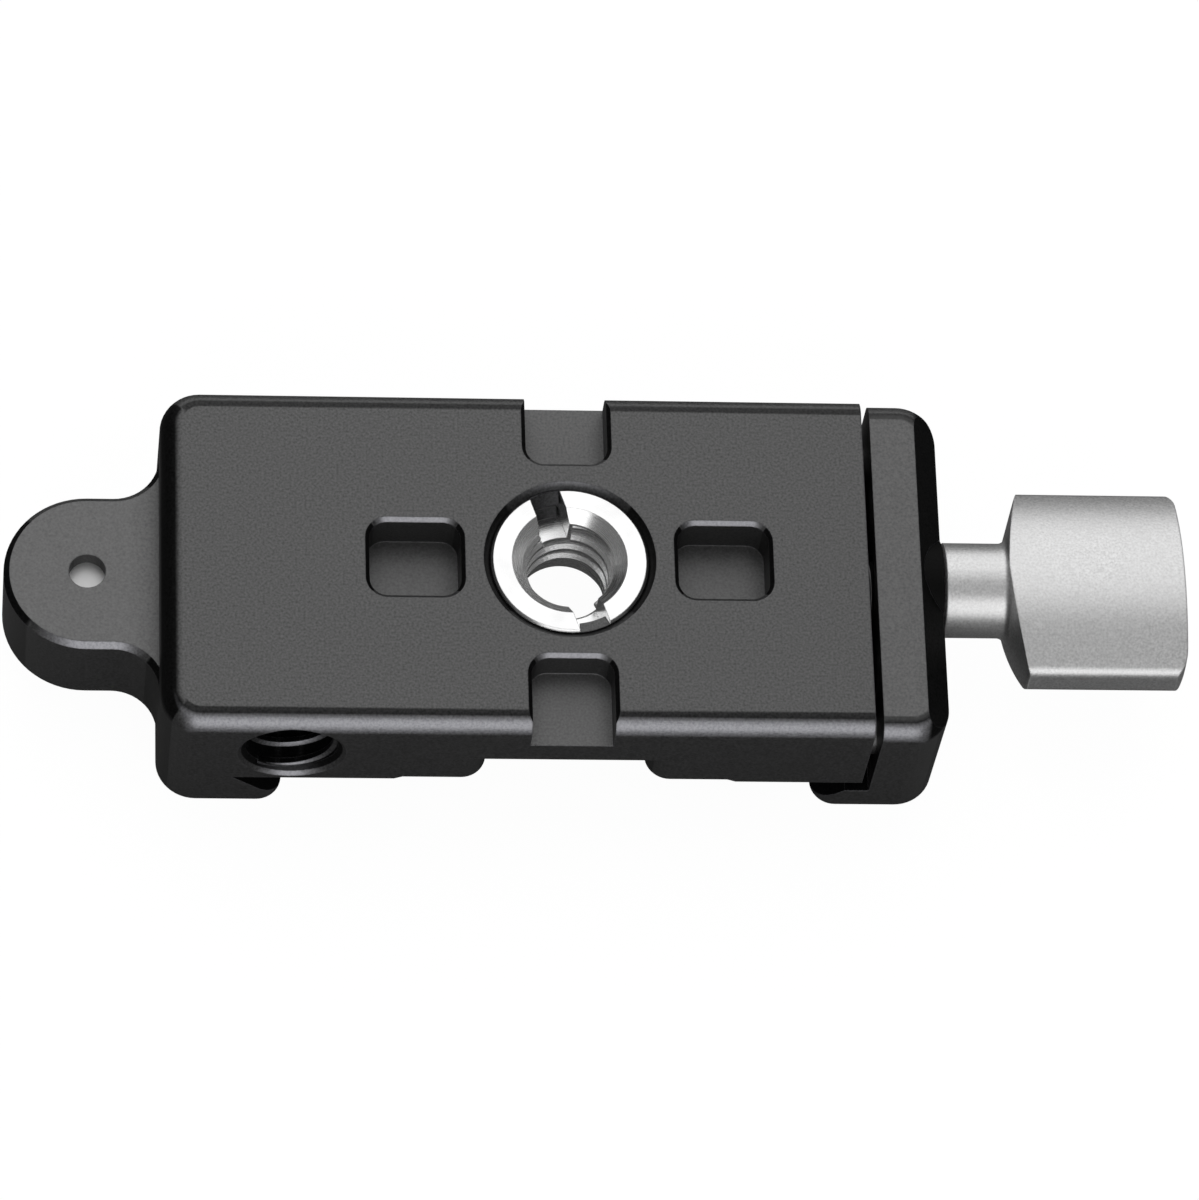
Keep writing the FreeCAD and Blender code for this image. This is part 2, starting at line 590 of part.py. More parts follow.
def make_parts():
    parts = {
        "base_body": make_base_body(),
        "moving_jaw": make_moving_jaw(),
        "thread_bushing": make_thread_bushing(),
        "clamp_stud": make_clamp_stud(),
        "stop_screw": make_stop_screw(),
        "thrust_washer": make_thrust_washer(),
        "knob": make_knob(),
        "level_vial": make_level_vial(),
        "level_liquid": make_level_liquid(),
        "level_plug": make_level_plug(),
    }
    for name, side in SIDES.items():
        parts["guide_pin_" + name] = make_guide_pin(side)
        parts["jaw_spring_" + name] = make_jaw_spring(side)
    return parts


os.makedirs("parts", exist_ok=True)
for node, shape in make_parts().items():
    shape.exportStep("parts/" + node + ".step")
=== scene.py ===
import json
import math
from types import SimpleNamespace

import bpy
from mathutils import Matrix, Vector


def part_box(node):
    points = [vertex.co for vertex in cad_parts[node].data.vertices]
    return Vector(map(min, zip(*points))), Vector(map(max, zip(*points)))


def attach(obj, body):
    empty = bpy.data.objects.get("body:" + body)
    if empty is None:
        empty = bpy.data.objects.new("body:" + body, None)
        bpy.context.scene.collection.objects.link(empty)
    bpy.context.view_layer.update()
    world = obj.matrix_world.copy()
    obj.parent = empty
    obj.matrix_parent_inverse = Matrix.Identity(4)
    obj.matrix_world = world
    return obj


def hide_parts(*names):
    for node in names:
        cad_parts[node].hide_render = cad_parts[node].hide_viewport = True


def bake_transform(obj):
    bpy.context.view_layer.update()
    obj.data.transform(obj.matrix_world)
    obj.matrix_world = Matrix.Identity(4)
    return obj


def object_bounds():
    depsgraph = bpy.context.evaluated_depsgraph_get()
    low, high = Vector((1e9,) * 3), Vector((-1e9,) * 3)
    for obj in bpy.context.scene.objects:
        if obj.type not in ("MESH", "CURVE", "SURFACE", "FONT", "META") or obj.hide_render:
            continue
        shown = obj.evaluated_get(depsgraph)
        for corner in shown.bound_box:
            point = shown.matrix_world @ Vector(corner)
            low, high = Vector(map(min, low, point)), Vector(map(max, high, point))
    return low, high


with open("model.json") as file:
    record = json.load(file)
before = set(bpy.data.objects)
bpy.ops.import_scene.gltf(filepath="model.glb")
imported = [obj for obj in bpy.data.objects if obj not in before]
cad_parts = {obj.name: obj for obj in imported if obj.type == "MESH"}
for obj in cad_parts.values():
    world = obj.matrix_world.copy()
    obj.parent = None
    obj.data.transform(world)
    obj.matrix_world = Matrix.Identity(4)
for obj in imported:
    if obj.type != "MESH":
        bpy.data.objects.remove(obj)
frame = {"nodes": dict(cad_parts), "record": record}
CAD_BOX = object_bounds()
MM = 0.001
INCH = 25.4 * MM

# Camera, as fitted to the photograph: where it stands, how it looks down and how its picture is turned
CAMERA_PLACE = (-0.038104, -0.188859, 0.390689)
CAMERA_AZIMUTH = -12.0646
CAMERA_ELEVATION = 64.0228
CAMERA_ROLL = 11.534
CAMERA_LENS = 218.2
CAMERA_NEAR = 0.01

# Light: a tall softbox behind, one low in front, a weak one above, and a dim room around them
ROOM_LEVEL = 0.12
WHITE_IN_GLOSS = 0.03
SOFTBOXES = {
    "back_softbox": {"tilt": -44.0, "distance": 0.55, "width": 0.62, "height": 0.88, "level": 1.03},
    "front_softbox": {"tilt": 72.0, "distance": 0.60, "width": 0.62, "height": 0.70, "level": 1.30},
    "top_softbox": {"tilt": 16.0, "distance": 0.70, "width": 0.6, "height": 0.32, "level": 0.45},
}
FLOOR_SIZE = 1.6
FLOOR_ROUGHNESS = 0.9
FLOOR_SHADE = 0.16
FLOOR_PALE = 0.86
FLOOR_LIFT = 0.90
FLOOR_WHITE = 1.07

# Camera thread, 20 turns to the inch, as a ridge in its bore; foot and tip are half widths in pitches
SCREW_PITCH = INCH / 20
SCREW_DEPTH = 0.26 * MM
RIDGE_FOOT = 0.27
RIDGE_TIP = 0.12
RIDGE_EMBED = 0.04 * MM
RIDGE_STEPS = 56
LEAD_IN_TURNS = 0.3
LEAD_IN_LEAST = 0.02
SIDE_MOUTH = 0.25 * MM
RUN_OUT = 0.24 * MM

# Other threads: the body's, 16 turns to the inch, and the clamp stud's
CREST_FLAT = 0.12
FLANK_RISE = 0.76
BODY_PITCH = INCH / 16
BODY_THREAD_DEPTH = 0.6 * MM
BODY_THREAD_COLUMNS = 12
BODY_THREAD_ROWS = 24
STUD_THREAD_DEPTH = 0.36 * MM
STUD_CHAMFER = 0.4 * MM
STUD_STEPS = 40
STUD_ROWS_PER_TURN = 10

# Screwdriver slot of the bushing
SLOT_WIDTH = 1.9 * MM
SLOT_DEPTH = 2.6 * MM
SLOT_ANGLE = math.radians(108.0)
SLOT_CLEAR = 0.02 * MM
BUSHING_RIM = 0.15 * MM

# Spring wire and level mark
SPRING_WIRE = 0.4 * MM
SPRING_TURNS = 6.5
SPRING_CLOSED_TURNS = 0.75
SPRING_STEPS_PER_TURN = 40
WIRE_STEPS = 12
LEVEL_MARK_RADIUS = 1.7 * MM
LEVEL_MARK_WIDTH = 0.16 * MM
LEVEL_MARK_PROUD = 0.03 * MM
LEVEL_MARK_SUNK = 0.02 * MM
LEVEL_MARK_STEPS = 64

MOUNTS = {mount["name"]: mount for mount in frame["record"]["mounts"]}
LEAD = 2 * math.pi / frame["record"]["behaviour"]["couplings"][0]["ratio"]

# Noise of the finishes: the blasted grain's size, and the limits between which noise goes from low to high
GRAIN_SIZE = 0.15 * MM
GRAIN_RANGE = (0.25, 0.75)
CLOUD_RANGE = (0.35, 0.65)
MARK_RANGE = (0.3, 0.7)

# Edges: bevel samples, and how alike plain and rounded normals are off an edge and on it
EDGE_SAMPLES = 6
EDGE_RANGE = (0.98, 0.80)

# Places that the black material's masks go by, among them its painted highlight and painted shade, from the
# frame and from the jaw's chamfer
JAW_CHAMFER = 1.44 * MM
JAW_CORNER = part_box("moving_jaw")[1].x - JAW_CHAMFER
JAW_CORNER_FADE = 0.25 * MM
LUG_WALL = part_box("level_vial")[1].x
LUG_FADE = 1.5 * MM
RIM_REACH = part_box("thread_bushing")[1].x + 0.2 * MM
RIM_FADE = 0.5 * MM
RUN_OUT_FADE = 0.05 * MM
HOLE_SHARE = 0.1
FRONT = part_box("base_body")[0].y
GROOVE_REACH = (1.5 * MM, 1.0 * MM)
LEDGE_HEIGHT = (-5.0 * MM, -5.5 * MM)
SUNK_TOP = (-0.3 * MM, -0.5 * MM)
SUNK_BOTTOM = (-4.5 * MM, -4.0 * MM)
GAP_SIDES = (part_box("base_body")[1].x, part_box("moving_jaw")[0].x)
GAP_REACH = (0.10 * MM, 0.05 * MM)


# Shaders

def grey(value):
    return (value, value, value, 1.0)


class Shader:
    """A material with its nodes, and short ways to add and join them."""

    def __init__(self, name):
        self.material = bpy.data.materials.new(name)
        self.material.use_nodes = True
        self.tree = self.material.node_tree
        self.surface = self.tree.nodes["Principled BSDF"]
        coordinates = self.add("ShaderNodeTexCoord").outputs
        self.place = coordinates["Object"]
        self.facing = coordinates["Normal"]

    def add(self, kind, **settings):
        node = self.tree.nodes.new(kind)
        for name, value in settings.items():
            setattr(node, name, value)
        return node

    def join(self, source, target):
        self.tree.links.new(source, target)

    def set(self, **values):
        """Sets sockets of the surface to plain values."""
        for name, value in values.items():
            self.surface.inputs[name.replace("_", " ")].default_value = value

    def feed(self, **sources):
        """Joins other nodes to sockets of the surface."""
        for name, source in sources.items():
            self.join(source, self.surface.inputs[name.replace("_", " ")])

    def fill(self, sockets, values):
        """Joins or sets each socket, as its value is another node's socket or a plain value."""
        for socket, value in zip(sockets, values):
            if isinstance(value, bpy.types.NodeSocket):
                self.join(value, socket)
            else:
                socket.default_value = value

    def math(self, operation, *values):
        node = self.add("ShaderNodeMath", operation=operation)
        self.fill(node.inputs, values)
        return node.outputs["Value"]

    def chain(self, operation, *values):
        total = values[0]
        for value in values[1:]:
            total = self.math(operation, total, value)
        return total

    def product(self, *values):
        return self.chain("MULTIPLY", *values)

    def largest(self, *values):
        return self.chain("MAXIMUM", *values)

    def split(self, vector):
        node = self.add("ShaderNodeSeparateXYZ")
        self.join(vector, node.inputs["Vector"])
        return node.outputs

    def distance(self, place, centre):
        """Distance of a split-up place from a line that is given by two of its coordinates."""
        squares = []
        for axis, middle in centre.items():
            squares.append(self.math("POWER", self.math("SUBTRACT", place[axis], middle), 2.0))
        return self.math("SQRT", self.math("ADD", *squares))

    def noise(self, size, detail, place=None):
        """Noise whose lumps are about size metres across."""
        node = self.add("ShaderNodeTexNoise")
        node.inputs["Scale"].default_value = 1 / size
        node.inputs["Detail"].default_value = detail
        self.join(place or self.place, node.inputs["Vector"])
        return node.outputs["Fac"]

    def spread(self, value, low, high, to_low, to_high):
        """A value from low to high, stretched to the range from to_low to to_high and held there."""
        node = self.add("ShaderNodeMapRange")
        names = ("Value", "From Min", "From Max", "To Min", "To Max")
        self.fill([node.inputs[name] for name in names], (value, low, high, to_low, to_high))
        return node.outputs["Result"]

    def mask(self, value, none, full):
        """Zero where a value is at none, and one where it is at full."""
        return self.spread(value, none, full, 0.0, 1.0)

    def mix(self, share, first, second):
        node = self.add("ShaderNodeMix", data_type="RGBA")
        self.join(share, node.inputs["Factor"])
        self.fill((node.inputs[6], node.inputs[7]), (first, second))
        return node.outputs[2]

    def soft_normal(self, radius):
        """Normals rounded over sharp edges, and how much of an edge each place is."""
        bevel = self.add("ShaderNodeBevel", samples=EDGE_SAMPLES)
        bevel.inputs["Radius"].default_value = radius
        plain = self.add("ShaderNodeNewGeometry").outputs["Normal"]
        alike = self.add("ShaderNodeVectorMath", operation="DOT_PRODUCT")
        self.fill(alike.inputs, (bevel.outputs["Normal"], plain))
        return bevel.outputs["Normal"], self.mask(alike.outputs["Value"], *EDGE_RANGE)

    def bump(self, height, depth, normal=None):
        node = self.add("ShaderNodeBump")
        node.inputs["Strength"].default_value = 1.0
        node.inputs["Distance"].default_value = depth
        self.join(height, node.inputs["Height"])
        if normal is not None:
            self.join(normal, node.inputs["Normal"])
        self.feed(Normal=node.outputs["Normal"])


def black_places(shader):
    """How each place of the black pieces faces and where it lies, for the masks below."""
    facing, place = shader.split(shader.facing), shader.split(shader.place)
    across, along, up = (shader.math("ABSOLUTE", facing[axis]) for axis in "XYZ")
    from_bushing = shader.distance(place, {"X": 0.0, "Y": 0.0})
    hole = MOUNTS["side_accessory_thread"]
    from_hole = shader.distance(place, {"X": hole["pos_m"][0], "Z": hole["pos_m"][2]})
    half = RUN_OUT / 2
    from_run_out = shader.math("SUBTRACT", from_hole, hole["dims"]["r_mm"] * MM + half)
    from_run_out = shader.math("ABSOLUTE", from_run_out)
    return SimpleNamespace(
        facing=facing,
        place=place,
        across=across,
        along=along,
        up=up,
        sideways=shader.math("SUBTRACT", across, along),
        open_face=shader.spread(from_bushing, RIM_REACH, RIM_REACH + RIM_FADE, HOLE_SHARE, 1.0),
        open_side=shader.spread(from_run_out, half, half + RUN_OUT_FADE, HOLE_SHARE, 1.0),
        jaw_corner=shader.mask(place["X"], JAW_CORNER, JAW_CORNER + JAW_CORNER_FADE))


def painted_front_highlight(shader, at):
    """The front roundings, where a highlight is painted in as bright metal, except at the holes and on the
    jaw's corner.
    """
    below_top = shader.mask(at.up, 0.95, 0.86)
    off_walls = shader.mask(at.up, 0.03, 0.18)
    off_front_face = shader.mask(at.along, 0.98, 0.93)
    off_ends = shader.mask(at.across, 0.45, 0.12)
    to_front = shader.mask(at.facing["Y"], 0.0, -0.1)
    off_corner = shader.mask(at.jaw_corner, 1.0, 0.0)
    return shader.product(
        below_top, off_walls, off_front_face, off_ends, to_front, off_corner, at.open_face, at.open_side)


def painted_shade_places(shader, at):
    """The two ends, the jaw's corner, the ledge below and the side thread's mouth, which get painted shade
    near black.
    """
    off_top = shader.mask(at.up, 0.999, 0.94)
    end_slope = shader.spread(at.up, 0.10, 0.40, 0.4, 1.0)
    ends = shader.product(off_top, end_slope, shader.mask(at.sideways, 0.0, 0.05))
    corner = shader.product(at.jaw_corner, off_top, shader.mask(at.up, 0.05, 0.25))
    looks_up = shader.mask(at.facing["Z"], 0.95, 0.99)
    ledge = shader.product(shader.mask(at.place["Z"], *LEDGE_HEIGHT), looks_up)
    near_front = shader.mask(at.place["Y"], *(FRONT + reach for reach in GROOVE_REACH))
    groove = shader.product(shader.mask(at.open_side, 1.0, HOLE_SHARE), near_front)
    return shader.largest(ends, groove, corner, ledge)


def dull_places(shader, at):
    """The line at the start of each rounding and the mouth of the bushing's hole, which shine less."""
    off_flat = shader.mask(at.up, 0.9995, 0.995)
    before_rounding = shader.mask(at.up, 0.90, 0.95)
    line = shader.product(off_flat, before_rounding, shader.mask(at.sideways, 0.03, 0.0))
    steep = shader.mask(at.up, 0.95, 0.85)
    mouth = shader.product(shader.mask(at.open_face, 1.0, HOLE_SHARE), steep)
    return shader.largest(line, mouth)


def gap_walls(shader, at):
    """The two walls of the gap between body and jaw."""
    middle, half = sum(GAP_SIDES) / 2, (GAP_SIDES[1] - GAP_SIDES[0]) / 2
    from_middle = shader.math("ABSOLUTE", shader.math("SUBTRACT", at.place["X"], middle))
    near_gap = shader.mask(from_middle, *(half + reach for reach in GAP_REACH))
    return shader.product(near_gap, shader.mask(at.across, 0.90, 0.98))


def pale_floors(shader, at):
    """The sunk floors and the lug, which are a little paler than the top."""
    sunk = shader.product(
        shader.spread(at.place["Z"], *SUNK_TOP, 0.0, 0.55),
        shader.mask(at.place["Z"], *SUNK_BOTTOM))
    lug = shader.mask(at.place["X"], LUG_WALL + LUG_FADE, LUG_WALL - LUG_FADE)
    flat = shader.mask(at.up, 0.95, 0.99)
    return shader.product(shader.largest(sunk, lug), flat)


def black_anodised(name):
    """Bead-blasted black anodised aluminium, with a painted highlight on the front roundings, painted shade
    in the dark places, and dull places.
    """
    shader = Shader(name)
    shader.set(IOR=1.75)
    grain = shader.noise(GRAIN_SIZE, 2.0)
    cloud = shader.noise(6 * MM, 3.0)
    normal, wear = shader.soft_normal(0.12 * MM)
    at = black_places(shader)
    # shine: the painted highlight on the front roundings, joined with a share of real wear on the edges
    shine = shader.largest(painted_front_highlight(shader, at), shader.product(wear, 0.30))
    # dark: painted shade at the ends, the jaw's corner, the ledge and the side thread's mouth
    dark = painted_shade_places(shader, at)
    gap = gap_walls(shader, at)
    dull = shader.largest(dull_places(shader, at), dark, gap)

    deep, sheen = grey(0.002), (0.022, 0.022, 0.023, 1.0)
    faded, floor_tone = grey(0.014), grey(0.09)
    # Colour of the painted highlight and of the worn edges, as bright metal
    highlight_and_wear_low, highlight_and_wear_high = (0.23, 0.23, 0.245, 1.0), (0.41, 0.41, 0.435, 1.0)
    grains = shader.mask(grain, *GRAIN_RANGE)
    shade = shader.mix(grains, deep, sheen)
    shade = shader.mix(shader.spread(cloud, *CLOUD_RANGE, 0.0, 0.25), shade, faded)
    shade = shader.mix(pale_floors(shader, at), shade, floor_tone)
    # Painted shade: the dark places go to near black
    shade = shader.mix(shader.product(dark, 0.85), shade, deep)
    highlight_and_wear = shader.mix(grains, highlight_and_wear_low, highlight_and_wear_high)

    gloss = shader.product(
        shader.spread(grain, *GRAIN_RANGE, 0.45, 0.95),
        shader.spread(dull, 0.0, 1.0, 1.0, 0.25),
        shader.spread(dark, 0.0, 1.0, 1.0, 0.3))
    roughness = shader.largest(
        shader.spread(grain, *GRAIN_RANGE, 0.38, 0.50),
        shader.product(gap, 0.95))
    shader.feed(
        Base_Color=shader.mix(shine, shade, highlight_and_wear),
        Metallic=shader.product(shine, 0.9),
        Specular_IOR_Level=gloss,
        Roughness=roughness)
    shader.bump(grain, 0.008 * MM, normal)
    return shader.material


def silver_anodised(name):
    """Bead-blasted, clear anodised aluminium with brighter worn edges."""
    shader = Shader(name)
    grain = shader.noise(GRAIN_SIZE, 2.0)
    cloud = shader.noise(5 * MM, 2.0)
    normal, edge = shader.soft_normal(0.16 * MM)
    wear = shader.mask(edge, 0.0, 0.55)
    low, high, faded, worn = (grey(value) for value in (0.56, 0.90, 0.70, 0.92))
    shade = shader.mix(shader.mask(grain, *GRAIN_RANGE), low, high)
    shade = shader.mix(shader.spread(cloud, *CLOUD_RANGE, 0.0, 0.3), shade, faded)
    shader.feed(
        Base_Color=shader.mix(wear, shade, worn),
        Metallic=shader.spread(wear, 0.0, 1.0, 1.0, 0.4),
        Roughness=shader.spread(grain, *GRAIN_RANGE, 0.36, 0.46))
    shader.bump(grain, 0.006 * MM, normal)
    return shader.material


def turned_steel(name, shade, roughness, axis):
    """Turned steel with fine lathe rings about one axis."""
    shader = Shader(name)
    shader.set(Metallic=1.0)
    place = shader.split(shader.place)
    rings = shader.add("ShaderNodeCombineXYZ")
    centre = {letter: 0.0 for letter in "XYZ" if letter != axis}
    shader.join(shader.distance(place, centre), rings.inputs["X"])
    shader.join(place[axis], rings.inputs["Y"])
    marks = shader.noise(0.05 * MM, 2.0, rings.outputs["Vector"])
    stains = shader.noise(2.5 * MM, 3.0)
    normal, wear = shader.soft_normal(0.06 * MM)
    low, high, worn = grey(shade * 0.9), grey(min(shade * 1.06, 0.98)), grey(min(shade * 1.4, 0.97))
    colour = shader.mix(shader.mask(stains, *MARK_RANGE), low, high)
    shader.feed(
        Base_Color=shader.mix(wear, colour, worn),
        Roughness=shader.spread(marks, *MARK_RANGE, roughness, roughness + 0.1))
    shader.bump(marks, 0.002 * MM, normal)
    return shader.material


def moulded_plastic(name, dark, pale, roughness, pearl, gloss):
    """Moulded plastic with a fine spark-eroded texture, and a share of pearl pigment."""
    shader = Shader(name)
    shader.set(Metallic=pearl, Specular_IOR_Level=gloss)
    texture = shader.noise(0.08 * MM, 3.0)
    patches = shader.noise(1.5 * MM, 2.0)
    shader.feed(
        Base_Color=shader.mix(patches, grey(dark), grey(pale)),
        Roughness=shader.spread(texture, *MARK_RANGE, roughness, roughness + 0.12))
    shader.bump(texture, 0.004 * MM)
    return shader.material


def clear_plastic(name, pale, dark, refraction):
    """Clear acrylic or liquid, with faint streaks in its colour and gloss."""
    shader = Shader(name)
    shader.set(Transmission_Weight=1.0, IOR=refraction)
    streaks = shader.noise(1.2 * MM, 3.0)
    shader.feed(
        Base_Color=shader.mix(streaks, pale, dark),
        Roughness=shader.spread(streaks, *MARK_RANGE, 0.02, 0.06))
    return shader.material


# Mesh pieces

def new_piece(name, vertices, faces, material, smooth=True):
    mesh = bpy.data.meshes.new(name)
    mesh.from_pydata(vertices, [], faces)
    mesh.update()
    mesh.polygons.foreach_set("use_smooth", [smooth] * len(mesh.polygons))
    mesh.materials.append(material)
    piece = bpy.data.objects.new(name, mesh)
    bpy.context.scene.collection.objects.link(piece)
    return piece


def on_circle(reach, angle):
    return reach * math.cos(angle), reach * math.sin(angle)


def strip_faces(rings, width, first=0):
    """Quads between neighbouring rings of vertices, each ring width vertices long."""
    faces = []
    for ring in range(rings - 1):
        for step in range(width):
            after = (step + 1) % width
            a, b = first + ring * width + step, first + ring * width + after
            faces.append((a, b, b + width, a + width))
    return faces


def rod_faces(rings, width, first=0):
    """Faces of a rod: the strip between its rings, and a cap on its first and its last ring."""
    last = first + (rings - 1) * width
    caps = [tuple(reversed(range(first, first + width))), tuple(range(last, last + width))]
    return strip_faces(rings, width, first) + caps


def thread_cut(turns):
    """How deep a thread is cut so many turns on: zero on its crest and one in its groove."""
    wave = abs(2 * (turns % 1.0) - 1)
    return min(1.0, max(0.0, (wave - CREST_FLAT) / FLANK_RISE))


def in_driver_slot(place):
    """True inside the bushing's screwdriver slot."""
    across = place.x * -math.sin(SLOT_ANGLE) + place.y * math.cos(SLOT_ANGLE)
    return place.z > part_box("thread_bushing")[1].z - SLOT_DEPTH and abs(across) < SLOT_WIDTH / 2


def thread_ridge(name, mount, start, material, in_slot=None):
    """The inner half of a camera thread in a mount's bore, left out where its wall is cut away."""
    axis = Vector(mount["axis"]).normalized()
    side = axis.orthogonal().normalized()
    other = axis.cross(side)
    radius = mount["dims"]["r_mm"] * MM
    turns = mount["dims"]["length_mm"] * MM / SCREW_PITCH - 2 * RIDGE_FOOT
    foot, tip = RIDGE_FOOT * SCREW_PITCH, RIDGE_TIP * SCREW_PITCH
    root = radius + RIDGE_EMBED
    runs = [[]]
    for step in range(int(turns * RIDGE_STEPS) + 1):
        turn = step / RIDGE_STEPS
        angle = 2 * math.pi * turn
        outward = side * math.cos(angle) + other * math.sin(angle)
        middle = start - axis * turn * SCREW_PITCH
        if in_slot and in_slot(middle + outward * radius):
            runs.append([])
            continue
        lead_in = min(1.0, turn / LEAD_IN_TURNS, (turns - turn) / LEAD_IN_TURNS)
        top = radius - SCREW_DEPTH * max(lead_in, LEAD_IN_LEAST)
        section = ((root, -foot), (top, -tip), (top, tip), (root, foot))
        runs[-1].append([middle + outward * reach + axis * half for reach, half in section])
    vertices, faces = [], []
    for run in runs:
        if len(run) > 1:
            faces += rod_faces(len(run), len(run[0]), len(vertices))
            vertices += [corner for ring in run for corner in ring]
    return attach(new_piece(name, vertices, faces, material, smooth=False), "base")


def body_thread(name, material):
    """The body's own thread round the bushing, which shows only in the ends of the bushing's slot."""
    low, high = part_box("thread_bushing")
    radius = (high.x - low.x) / 2
    wall = radius + SLOT_CLEAR / 2
    spread = math.asin((SLOT_WIDTH / 2 - SLOT_CLEAR) / radius)
    bottom, top = high.z - SLOT_DEPTH + SLOT_CLEAR, high.z - BUSHING_RIM
    columns, rows = BODY_THREAD_COLUMNS, BODY_THREAD_ROWS
    vertices, faces = [], []
    for end in (0, math.pi):
        faces += rod_faces(rows + 1, 2 * (columns + 1), len(vertices))
        for row in range(rows + 1):
            z = bottom + (top - bottom) * row / rows
            ring = []
            for column in range(columns + 1):
                angle = SLOT_ANGLE + end + spread * (2 * column / columns - 1)
                reach = radius - BODY_THREAD_DEPTH * thread_cut(z / BODY_PITCH - angle / (2 * math.pi))
                ring.insert(0, (*on_circle(reach, angle), z))
                ring.append((*on_circle(wall, angle), z))
            vertices += ring
    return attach(new_piece(name, vertices, faces, material, smooth=False), "base")


def threaded_stud(name, node, material):
    """The clamp stud with its whole thread, in the place of the plain solid."""
    low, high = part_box(node)
    middle = (low + high) / 2
    radius = (high.y - low.y) / 2
    rows = int((high.x - low.x) / LEAD * STUD_ROWS_PER_TURN) + 1
    vertices = []
    for row in range(rows):
        x = low.x + (high.x - low.x) * row / (rows - 1)
        from_end = min(x - low.x, high.x - x)
        crest = min(radius, radius - STUD_CHAMFER + from_end)
        for step in range(STUD_STEPS):
            turn = step / STUD_STEPS
            groove = radius - STUD_THREAD_DEPTH * thread_cut((x - low.x) / LEAD - turn)
            y, z = on_circle(min(crest, groove), 2 * math.pi * turn)
            vertices.append((x, middle.y + y, middle.z + z))
    piece = new_piece(name, vertices, rod_faces(rows, STUD_STEPS), material)
    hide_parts(node)
    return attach(piece, "base")


def coil_spring(name, node, material):
    """A round-wire coil with closed ends, in the place of the plain solid."""
    low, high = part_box(node)
    middle = (low + high) / 2
    wire = SPRING_WIRE / 2
    coil = (high.y - low.y) / 2 - wire
    first, last = low.x + wire, high.x - wire
    steps = int(SPRING_TURNS * SPRING_STEPS_PER_TURN)
    closed = SPRING_CLOSED_TURNS
    open_turns = SPRING_TURNS - 2 * closed
    rise = (last - first - 2 * SPRING_WIRE) / open_turns
    vertices = []
    for step in range(steps + 1):
        turn = SPRING_TURNS * step / steps
        lower = min(turn, closed) / closed * SPRING_WIRE
        upper = max(turn - (SPRING_TURNS - closed), 0.0) / closed * SPRING_WIRE
        x = first + lower + upper + rise * min(max(turn - closed, 0.0), open_turns)
        outward = Vector((0, *on_circle(1.0, 2 * math.pi * turn)))
        centre = Vector((x, middle.y, middle.z)) + outward * coil
        for corner in range(WIRE_STEPS):
            away, forward = on_circle(wire, 2 * math.pi * corner / WIRE_STEPS)
            vertices.append(centre + outward * away - Vector((forward, 0, 0)))
    piece = new_piece(name, vertices, rod_faces(steps + 1, WIRE_STEPS), material)
    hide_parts(node)
    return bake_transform(piece)


def level_mark(name, node, material):
    """The ring on the level's window that its bubble is read against."""
    low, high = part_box(node)
    middle = (low + high) / 2
    inner, outer = LEVEL_MARK_RADIUS - LEVEL_MARK_WIDTH / 2, LEVEL_MARK_RADIUS + LEVEL_MARK_WIDTH / 2
    sunk, proud = low.z + LEVEL_MARK_SUNK, low.z - LEVEL_MARK_PROUD
    section = ((inner, sunk), (inner, proud), (outer, proud), (outer, sunk))
    around = LEVEL_MARK_STEPS
    vertices = []
    for reach, z in section:
        for step in range(around):
            x, y = on_circle(reach, 2 * math.pi * step / around)
            vertices.append((middle.x + x, middle.y + y, z))
    faces = strip_faces(len(section), around)
    last = (len(section) - 1) * around
    for step in range(around):
        after = (step + 1) % around
        faces.append((last + step, last + after, after, step))
    piece = new_piece(name, vertices, faces, material, smooth=False)
    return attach(piece, "base")


# Stage

def tilted(tilt):
    """Direction in the YZ plane, tilt degrees from straight up towards the front."""
    lean = math.radians(tilt)
    return Vector((0, -math.sin(lean), math.cos(lean)))


def softbox(name, tilt, distance, width, height, level):
    """An area lamp towards the origin, whose face is as bright as white at a level of one."""
    lamp = bpy.data.lights.new(name, "AREA")
    lamp.shape = "RECTANGLE"
    lamp.size, lamp.size_y = width, height
    lamp.energy = math.pi * width * height * level
    light = bpy.data.objects.new(name, lamp)
    toward = tilted(tilt)
    light.location = toward * distance
    light.rotation_euler = toward.to_track_quat("Z", "Y").to_euler()
    light.visible_camera = False
    bpy.context.scene.collection.objects.link(light)


def white_for_sight(tree):
    """One for camera and transmission rays, and a small share for glossy rays."""
    rays = tree.nodes.new("ShaderNodeLightPath").outputs
    sight = tree.nodes.new("ShaderNodeMath")
    sight.operation = "MAXIMUM"
    tree.links.new(rays["Is Camera Ray"], sight.inputs[0])
    tree.links.new(rays["Is Transmission Ray"], sight.inputs[1])
    gloss = tree.nodes.new("ShaderNodeMath")
    gloss.operation = "MULTIPLY_ADD"
    tree.links.new(rays["Is Glossy Ray"], gloss.inputs[0])
    gloss.inputs[1].default_value = WHITE_IN_GLOSS
    tree.links.new(sight.outputs["Value"], gloss.inputs[2])
    return gloss.outputs["Value"]


def make_room():
    """A dim room that is white where it is seen."""
    world = bpy.data.worlds.new("room")
    bpy.context.scene.world = world
    world.use_nodes = True
    tree = world.node_tree
    room = tree.nodes["Background"]
    room.inputs["Color"].default_value = grey(1.0)
    room.inputs["Strength"].default_value = ROOM_LEVEL
    white = tree.nodes.new("ShaderNodeBackground")
    white.inputs["Color"].default_value = grey(1.0)
    mix = tree.nodes.new("ShaderNodeMixShader")
    tree.links.new(white_for_sight(tree), mix.inputs["Fac"])
    tree.links.new(room.outputs["Background"], mix.inputs[1])
    tree.links.new(white.outputs["Background"], mix.inputs[2])
    tree.links.new(mix.outputs["Shader"], tree.nodes["World Output"].inputs["Surface"])


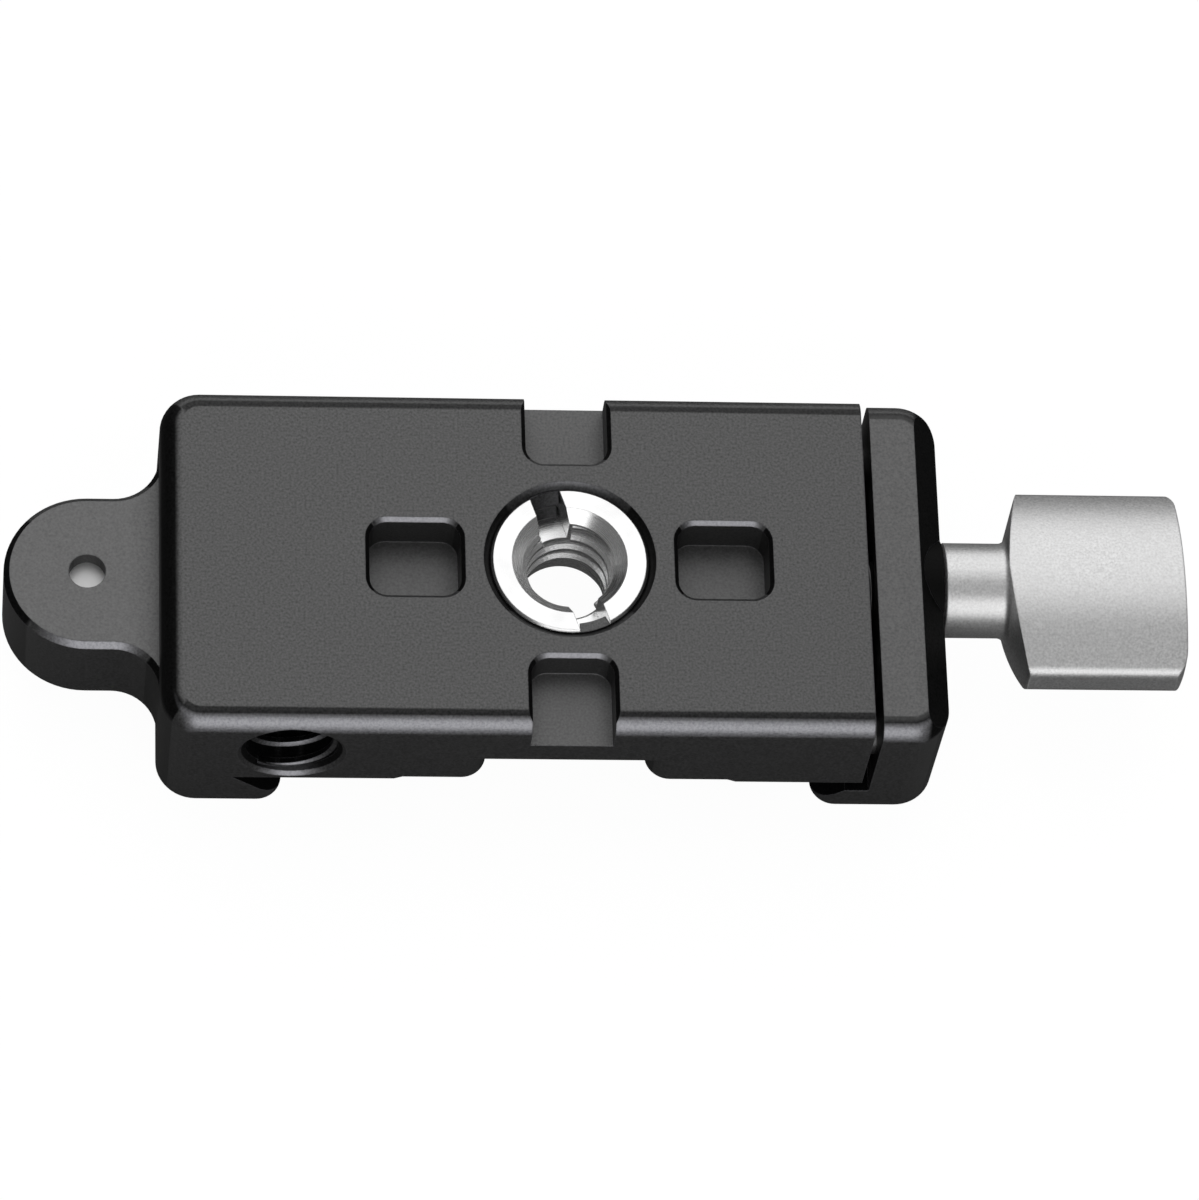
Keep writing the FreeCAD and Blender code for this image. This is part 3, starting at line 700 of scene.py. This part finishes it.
def make_floor():
    """A pale floor under the jaws that keeps a soft shadow."""
    shader = Shader("floor_white")
    shader.set(Roughness=FLOOR_ROUGHNESS, Specular_IOR_Level=0.0)
    sight = white_for_sight(shader.tree)
    shader.feed(Base_Color=shader.mix(sight, grey(FLOOR_SHADE), grey(FLOOR_PALE)))
    glow = shader.add("ShaderNodeEmission")
    glow.inputs["Strength"].default_value = FLOOR_WHITE
    mix = shader.add("ShaderNodeMixShader")
    shader.join(shader.product(sight, FLOOR_LIFT), mix.inputs["Fac"])
    shader.join(shader.surface.outputs["BSDF"], mix.inputs[1])
    shader.join(glow.outputs["Emission"], mix.inputs[2])
    shader.join(mix.outputs["Shader"], shader.tree.nodes["Material Output"].inputs["Surface"])
    half, level = FLOOR_SIZE / 2, CAD_BOX[0].z
    corners = [(-half, -half, level), (half, -half, level), (half, half, level), (-half, half, level)]
    new_piece("floor", corners, [(0, 1, 2, 3)], shader.material, smooth=False)


def make_camera():
    angles = (CAMERA_AZIMUTH, CAMERA_ELEVATION, CAMERA_ROLL)
    turn, lift, roll = (math.radians(angle) for angle in angles)
    back = Vector((math.sin(turn) * math.cos(lift), -math.cos(turn) * math.cos(lift), math.sin(lift)))
    level_right = Vector((math.cos(turn), math.sin(turn), 0))
    level_up = back.cross(level_right)
    right = level_right * math.cos(roll) + level_up * math.sin(roll)
    up = level_up * math.cos(roll) - level_right * math.sin(roll)
    lens = bpy.data.cameras.new("camera")
    lens.lens = CAMERA_LENS
    lens.clip_start = CAMERA_NEAR
    camera = bpy.data.objects.new("camera", lens)
    camera.matrix_world = Matrix.Translation(CAMERA_PLACE) @ Matrix((right, up, back)).transposed().to_4x4()
    bpy.context.scene.collection.objects.link(camera)
    bpy.context.scene.camera = camera


def dress(materials):
    """Gives every solid its material, by the record's material slots."""
    for part in frame["record"]["subparts"]:
        solid = frame["nodes"][part["node"]]
        solid.data.materials.clear()
        solid.data.materials.append(materials[part["material_slot"]])


make_camera()
make_room()
make_floor()
for name, settings in SOFTBOXES.items():
    softbox(name, **settings)
bpy.context.scene.view_settings.view_transform = "Standard"

materials = {
    "black_anodised": black_anodised("black_anodised"),
    "silver_anodised": silver_anodised("silver_anodised"),
    "bright_steel": turned_steel("bright_steel", shade=0.93, roughness=0.20, axis="Z"),
    "steel": turned_steel("steel", shade=0.22, roughness=0.35, axis="X"),
    "black_plastic": moulded_plastic(
        "black_plastic", dark=0.002, pale=0.005, roughness=0.5, pearl=0.0, gloss=0.08),
    "pale_plastic": moulded_plastic(
        "pale_plastic", dark=0.66, pale=0.78, roughness=0.34, pearl=0.6, gloss=0.5),
    "clear_acrylic": clear_plastic(
        "clear_acrylic", pale=(0.96, 0.98, 0.96, 1), dark=(0.92, 0.96, 0.92, 1), refraction=1.49),
    "level_liquid": clear_plastic(
        "level_liquid", pale=(0.66, 0.90, 0.22, 1), dark=(0.58, 0.84, 0.16, 1), refraction=1.40),
}
dress(materials)

tripod, accessory = MOUNTS["tripod_thread"], MOUNTS["side_accessory_thread"]
half_ridge = RIDGE_FOOT * SCREW_PITCH
tripod_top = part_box("thread_bushing")[0].z + tripod["dims"]["length_mm"] * MM
tripod_start = Vector((0, 0, tripod_top - half_ridge))
side_x, side_z = accessory["pos_m"][0], accessory["pos_m"][2]
side_start = Vector((side_x, FRONT + SIDE_MOUTH + half_ridge, side_z))
thread_ridge("bushing_thread", tripod, tripod_start, materials["bright_steel"], in_driver_slot)
thread_ridge("side_thread", accessory, side_start, materials["black_anodised"])
body_thread("body_thread", materials["black_anodised"])
threaded_stud("stud_thread", "clamp_stud", materials["steel"])
for side in ("front", "rear"):
    coil_spring("coil_" + side, "jaw_spring_" + side, materials["steel"])
level_mark("level_ring", "level_vial", materials["black_plastic"])
